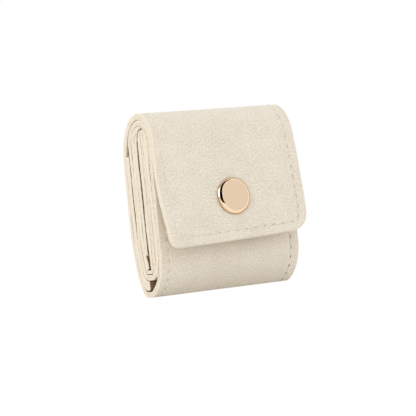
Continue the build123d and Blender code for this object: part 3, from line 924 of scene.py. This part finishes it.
def turned(name, outline, corner, body, node_name, material):
    """A piece turned on the snap's axis from the corners of its half section, (radius, height).

    Each corner is rounded by a quadratic curve between the points a corner's length before and
    after it. The outline then goes round the axis as rings of points. Where it starts and ends
    on the axis, a fan of triangles closes it there.
    """
    outline = np.array(outline, float)
    before, after = np.roll(outline, 1, axis=0) - outline, np.roll(outline, -1, axis=0) - outline
    long_before, long_after = (np.linalg.norm(way, axis=1, keepdims=True) for way in (before, after))
    before *= np.minimum(corner, corner_limit * long_before) / long_before
    after *= np.minimum(corner, corner_limit * long_after) / long_after
    t = np.linspace(0, 1, corner_steps)[:, None, None]
    curves = (outline + (1 - t) ** 2 * before + t**2 * after).transpose(1, 0, 2)
    solid = outline[0, 0] == 0
    ring = curves[1:-1].reshape(-1, 2) if solid else np.concatenate([curves.reshape(-1, 2), curves[0, :1]])
    angle = np.linspace(0, 2 * np.pi, turned_segments, endpoint=False)
    side = np.stack([ring[:, :1] * np.cos(angle), ring[:, :1] * np.sin(angle), ring[:, 1:] + 0 * angle], -1)
    walls = grid_faces(len(ring), turned_segments)
    if solid:
        local = np.concatenate([side.reshape(-1, 3), [[0, 0, outline[0, 1]], [0, 0, outline[-1, 1]]]])
        this, following = np.arange(turned_segments), np.roll(np.arange(turned_segments), -1)
        last = (len(ring) - 1) * turned_segments
        faces = [walls, np.stack([following, this, this * 0 + len(local) - 2], -1),
                 np.stack([last + this, last + following, this * 0 + len(local) - 1], -1)]
    else:
        local = side[:-1].reshape(-1, 3)
        faces = [walls % len(local)]
    piece = new_piece(name, local @ np.array([[1, 0, 0], snap_up, snap_out]) + snap_centre, *faces)
    fasten(piece, body, material, node_name)


def metal(name, base, rim, roughness, scratch):
    """Plated brass or bare steel, polished, tumbled or drawn.

    A mirror with the metal's own tint, and hairline marks about 0.1 mm apart and 1.7 mm long, whose
    counts per metre are in scratches, that only show as a slight change in how sharp the
    reflection is. Between two distances from the cap's middle the tint goes over to the second
    colour: painted shade that darkens the cap's edge.
    """
    material, tree = new_material(name)
    place = add(tree, "TexCoord", {}).outputs["Object"]
    marks = add(tree, "Mapping", {"Vector": place, "Scale": scratches, "Rotation": scratch_slant})
    hair = add(tree, "TexNoise", {"Vector": marks, "Scale": 1.0, "Detail": 2.0})
    dull = add(tree, "MapRange", {"Value": hair, "To Min": roughness * clearest,
                                  "To Max": roughness * dullest})
    bump = add(tree, "Bump", {"Height": hair, "Strength": scratch, "Distance": scratch_depth})
    from_centre = add(tree, "VectorMath", {0: place, 1: tuple(snap_centre)}, operation="DISTANCE")
    rim_shade_share = add(tree, "MapRange", {"Value": from_centre, "From Min": rim_shade_start, "From Max": rim_shade_full})
    tint = add(tree, "Mix", {0: rim_shade_share, 6: colour(base), 7: colour(rim)}, data_type="RGBA")
    shader = add(tree, "BsdfPrincipled", {"Base Color": tint, "Metallic": 1.0, "Normal": bump,
                                          "Roughness": dull})
    add(tree, "OutputMaterial", {0: shader})
    return material


# The cap's face is polished to a sharp pink mirror. The parts under it are only tumbled and satin.
# The cap's second colour is painted shade at its edge; the other parts give their own colour twice.
polished_plate = metal("polished_rose_gold_plate", "#F2D6B8", "#BF9B6C", roughness=0.06, scratch=0.12)
tumbled_plate = metal("tumbled_rose_gold_plate", "#DDBB9B", "#DDBB9B", roughness=0.22, scratch=0.4)
cap_outline = [(0, cap_height + cap_crown), (cap_face_radius, cap_height),
               (cap_radius - bevel_slope, cap_flank + bevel_half), (cap_radius, cap_flank - bevel_half),
               (cap_radius - cap_wall, 0), (cap_curl, 0), (cap_curl, cap_wall),
               (cap_radius - 2 * cap_wall, cap_wall), (cap_radius - cap_wall, cap_flank),
               (cap_face_radius - cap_wall / 2, cap_height - cap_wall), (0, cap_height - cap_wall)]
turned("snap_cap_shell", cap_outline, cap_corner, "flap", "snap_cap", polished_plate)
flange_top = cap_wall + post_flange
socket_floor = -strip_thickness - socket_base
flare_end = socket_floor - post_flare
post_outline = [(0, flange_top), (post_flange_radius, flange_top), (post_flange_radius, cap_wall),
                (post_radius, cap_wall), (post_radius, socket_floor), (post_flare_radius, socket_floor),
                (post_flare_radius, flare_end), (post_bore, flare_end), (post_bore, 0), (0, 0)]
turned("snap_post_tube", post_outline, post_corner, "flap", "snap_post", tumbled_plate)

# Socket and spring: a pressed ring on the flap's lining, riveted by the post. Two short straight
# wires lie in it and grip the stud's head on both sides when the flap is pressed shut.
socket_radius = 0.0062
socket_cavity = 0.0052
socket_mouth = 0.00435
socket_lip = 0.00045
socket_corner = 0.00035
rivet_clearance = 0.00005
spring_radius = 0.00025
spring_spread = 0.0042
spring_half = 0.00268
spring_rings = 9
spring_sides = 16
rivet_hole, lip_top = post_radius + rivet_clearance, socket_rim + socket_lip
socket_outline = [(rivet_hole, -strip_thickness), (socket_radius, -strip_thickness),
                  (socket_radius, socket_rim), (socket_mouth, socket_rim), (socket_mouth, lip_top),
                  (socket_cavity, lip_top), (socket_cavity, socket_floor), (rivet_hole, socket_floor)]
turned("snap_socket_ring", socket_outline, socket_corner, "flap", "snap_socket", tumbled_plate)
spring_steel = metal("drawn_spring_steel", "#B9B6B2", "#B9B6B2", roughness=0.3, scratch=0.3)
spring_level = lip_top + spring_radius + rivet_clearance
wire_side = np.array([-1, 1])[:, None, None] * spring_spread * np.array([1.0, 0, 0])
wire_run = np.linspace(-spring_half, spring_half, spring_rings)[None, :, None] * snap_up
wires = snap_centre + spring_level * snap_out + wire_side + wire_run
wires_out = np.broadcast_to(snap_out, wires.shape)
spring_wires = strands("snap_spring_wires", wires, wires_out, spring_radius, spring_sides)
fasten(spring_wires, "flap", spring_steel, "snap_spring")

# Stud and eyelet: the hollow stud stands on the front panel and snaps into the socket. Its
# eyelet comes through from behind, under the pocket sheet, and is flared over inside the head.
stud_flange = 0.0005
stud_head = 0.0037
stud_waist = 0.00335
stud_bore = 0.00195
stud_lip_share = 0.4
stud_corner = 0.0003
eyelet_flange_radius = 0.0046
eyelet_flange = 0.0005
eyelet_wall = 0.00045
eyelet_flare_radius = 0.0025
eyelet_flare = 0.00035
eyelet_corner = 0.00015
flange_face = stud_base + stud_flange
stud_lip = stud_tip - (stud_tip - flange_face) * stud_lip_share
flare_floor = stud_tip - eyelet_flare
flare_seat = eyelet_flare_radius + rivet_clearance
stud_outline = [(stud_bore, stud_base), (stud_flange_radius, stud_base), (stud_flange_radius, flange_face),
                (stud_waist, flange_face), (stud_head, stud_lip), (stud_head, stud_tip),
                (flare_seat, stud_tip), (flare_seat, flare_floor), (stud_bore, flare_floor)]
turned("snap_stud_head", stud_outline, stud_corner, "roll", "snap_stud", tumbled_plate)
eyelet_radius = stud_bore - rivet_clearance
eyelet_face = stud_base - strip_thickness / cosine(flap_lean) + eyelet_flange_radius * lean_share
eyelet_bore, eyelet_back = eyelet_radius - eyelet_wall, eyelet_face - eyelet_flange
eyelet_outline = [(eyelet_bore, eyelet_back), (eyelet_flange_radius, eyelet_back),
                  (eyelet_flange_radius, eyelet_face), (eyelet_radius, eyelet_face),
                  (eyelet_radius, flare_floor), (eyelet_flare_radius, flare_floor),
                  (eyelet_flare_radius, stud_tip), (eyelet_bore, stud_tip)]
turned("snap_eyelet_rivet", eyelet_outline, eyelet_corner, "roll", "snap_eyelet", tumbled_plate)

# Camera: at the photograph's angle, level with the pouch's lower half and tipped to one side, with
# a long lens. It was fitted to the pouch's corners and edges as they show in the frame.
camera_turn = 29.72
camera_tip = 5.736
camera_place = Vector((-0.3583, -0.6214, 0.0336))
lens_mm = 151.44
turn, tip = np.radians(camera_turn), np.radians(camera_tip)
forward = Vector((np.sin(turn), np.cos(turn), 0))
level = Vector((np.cos(turn), -np.sin(turn), 0))
right = level * np.cos(tip) - Vector((0, 0, np.sin(tip)))
upward = level * np.sin(tip) + Vector((0, 0, np.cos(tip)))
camera = bpy.data.objects.new("camera", bpy.data.cameras.new("camera"))
camera.data.lens, camera.data.sensor_width = lens_mm, 36.0
camera.data.clip_start, camera.data.clip_end = 0.01, 50.0
camera_axes = Matrix((right, upward, -forward)).transposed().to_4x4()
camera.matrix_world = Matrix.Translation(camera_place + Vector((0, centre, 0))) @ camera_axes
scene.collection.objects.link(camera)
scene.camera = camera

# Studio: a white sweep that the camera and the metal see as pure white, one large soft lamp low at
# the front left, a weaker one at each side and one above, and cards that only the cap reflects.
sky_light = 0.85
floor_white = 0.80
floor_lift = 0.25
floor_glow = 1.12
floor_half = 12.0
aim_height = 0.04
white = (1, 1, 1, 1)


def seen_white(tree, dim, bright):
    """Mixes in the bright light for rays from the camera, from glossy and from clear surfaces."""
    path = add(tree, "LightPath", {})
    either = add(tree, "Math", {0: path.outputs["Is Camera Ray"], 1: path.outputs["Is Glossy Ray"]},
                 operation="MAXIMUM")
    seen = add(tree, "Math", {0: either, 1: path.outputs["Is Transmission Ray"]}, operation="MAXIMUM")
    return add(tree, "MixShader", {0: seen, 1: dim, 2: bright})


world = bpy.data.worlds.new("white_studio")
world.use_nodes = True
world.node_tree.nodes.clear()
scene.world = world
dim_sky = add(world.node_tree, "Background", {"Color": white, "Strength": sky_light})
white_sky = add(world.node_tree, "Background", {"Color": white, "Strength": 1.0})
sky = seen_white(world.node_tree, dim_sky, white_sky)
add(world.node_tree, "OutputWorld", {0: sky})

floor_material, tree = new_material("painted_white_sweep")
matt = add(tree, "BsdfDiffuse", {"Color": colour("#F4F2EE")})
glow = add(tree, "Emission", {"Color": white, "Strength": floor_glow})
# The floor glows by one share where it is seen as white, and by a smaller one for the suede
lit = add(tree, "MixShader", {0: floor_white, 1: matt, 2: glow})
low = add(tree, "MixShader", {0: floor_lift, 1: matt, 2: glow})
shown = seen_white(tree, low, lit)
add(tree, "OutputMaterial", {0: shown})
square = np.array([(-1, -1, 0), (1, -1, 0), (1, 1, 0), (-1, 1, 0)])
floor = new_piece("studio_floor", square * floor_half, np.array([[0, 1, 2, 3]]))
floor.data.materials.append(floor_material)
aim = Vector((0, centre, aim_height))

# Cards, each laid along what the cap's bevel mirrors: for places round the cap in degrees, the
# tilts of the bevel between which the card shows, and its brightness
card_reach = 0.12
card_steps = 60
bevel_radius = 0.0066
bevel_height = 0.0014
cards = {
    "black_felt_card": ((97, 110, 120, 140, 160, 180, 190, 200, 209), (30, 30, 30, 24, 14, 8, 9, 8, 4),
                        (36, 39, 41, 42, 40, 39, 38, 30, 8), 0.0),
    "white_glint_card": ((150, 156, 164, 172, 179), (43, 43, 42, 42, 41), (44, 49, 52, 49, 42), 8.0),
    "grey_face_card": ((0, 90, 180, 270, 360), (-4,) * 5, (9, 15, 3, 17, 9), 0.885),
}


def mirrored(round_cap, tilt):
    """Where a ray from the camera goes that meets the cap at that place and tilt.

    The ray's direction less twice its share along the surface's normal is followed for the card's
    distance.
    """
    outward = np.cos(round_cap)[..., None] * np.array([1.0, 0, 0]) + np.sin(round_cap)[..., None] * snap_up
    point = snap_centre + outward * bevel_radius + snap_out * bevel_height
    normal = np.cos(tilt)[..., None] * snap_out + np.sin(tilt)[..., None] * outward
    ray = point - np.array(camera.matrix_world.translation)
    ray /= np.linalg.norm(ray, axis=-1, keepdims=True)
    return point + card_reach * (ray - 2 * (ray * normal).sum(-1, keepdims=True) * normal)


for name, (places, low_tilts, high_tilts, brightness) in cards.items():
    card_material, tree = new_material(name)
    face = add(tree, "Emission", {"Color": white, "Strength": brightness})
    add(tree, "OutputMaterial", {0: face})
    round_cap = np.linspace(places[0], places[-1], card_steps + 1)
    tilts = [np.interp(round_cap, places, edge) for edge in (low_tilts, high_tilts)]
    points = np.stack([mirrored(np.radians(round_cap), np.radians(tilt)) for tilt in tilts], 1)
    first = 2 * np.arange(card_steps)
    faces = np.stack([first, first + 1, first + 3, first + 2], -1)
    card = new_piece(name, points, faces)
    card.data.materials.append(card_material)
    card.visible_camera = card.visible_diffuse = card.visible_shadow = False


def facing(place):
    """A turn that points an object's -Z from that place to the pouch's middle."""
    return (aim - Vector(place)).to_track_quat("-Z", "Y").to_matrix()


for name, place, size, watts in (("key_lamp", (-0.7, -1.0, 0.3), 0.9, 2.75),
                                 ("side_lamp", (-1.1, -0.45, 0.2), 0.8, 2.1),
                                 ("fill_lamp", (0.9, -0.8, 0.3), 0.8, 0.8),
                                 ("top_lamp", (-0.2, 0.3, 1.3), 0.8, 3.6)):
    lamp = bpy.data.objects.new(name, bpy.data.lights.new(name, "AREA"))
    lamp.data.shape, lamp.data.size, lamp.data.energy = "DISK", size, watts
    lamp.matrix_world = Matrix.Translation(place) @ facing(place).to_4x4()
    lamp.visible_glossy = False
    scene.collection.objects.link(lamp)
scene.view_settings.view_transform = "Standard"
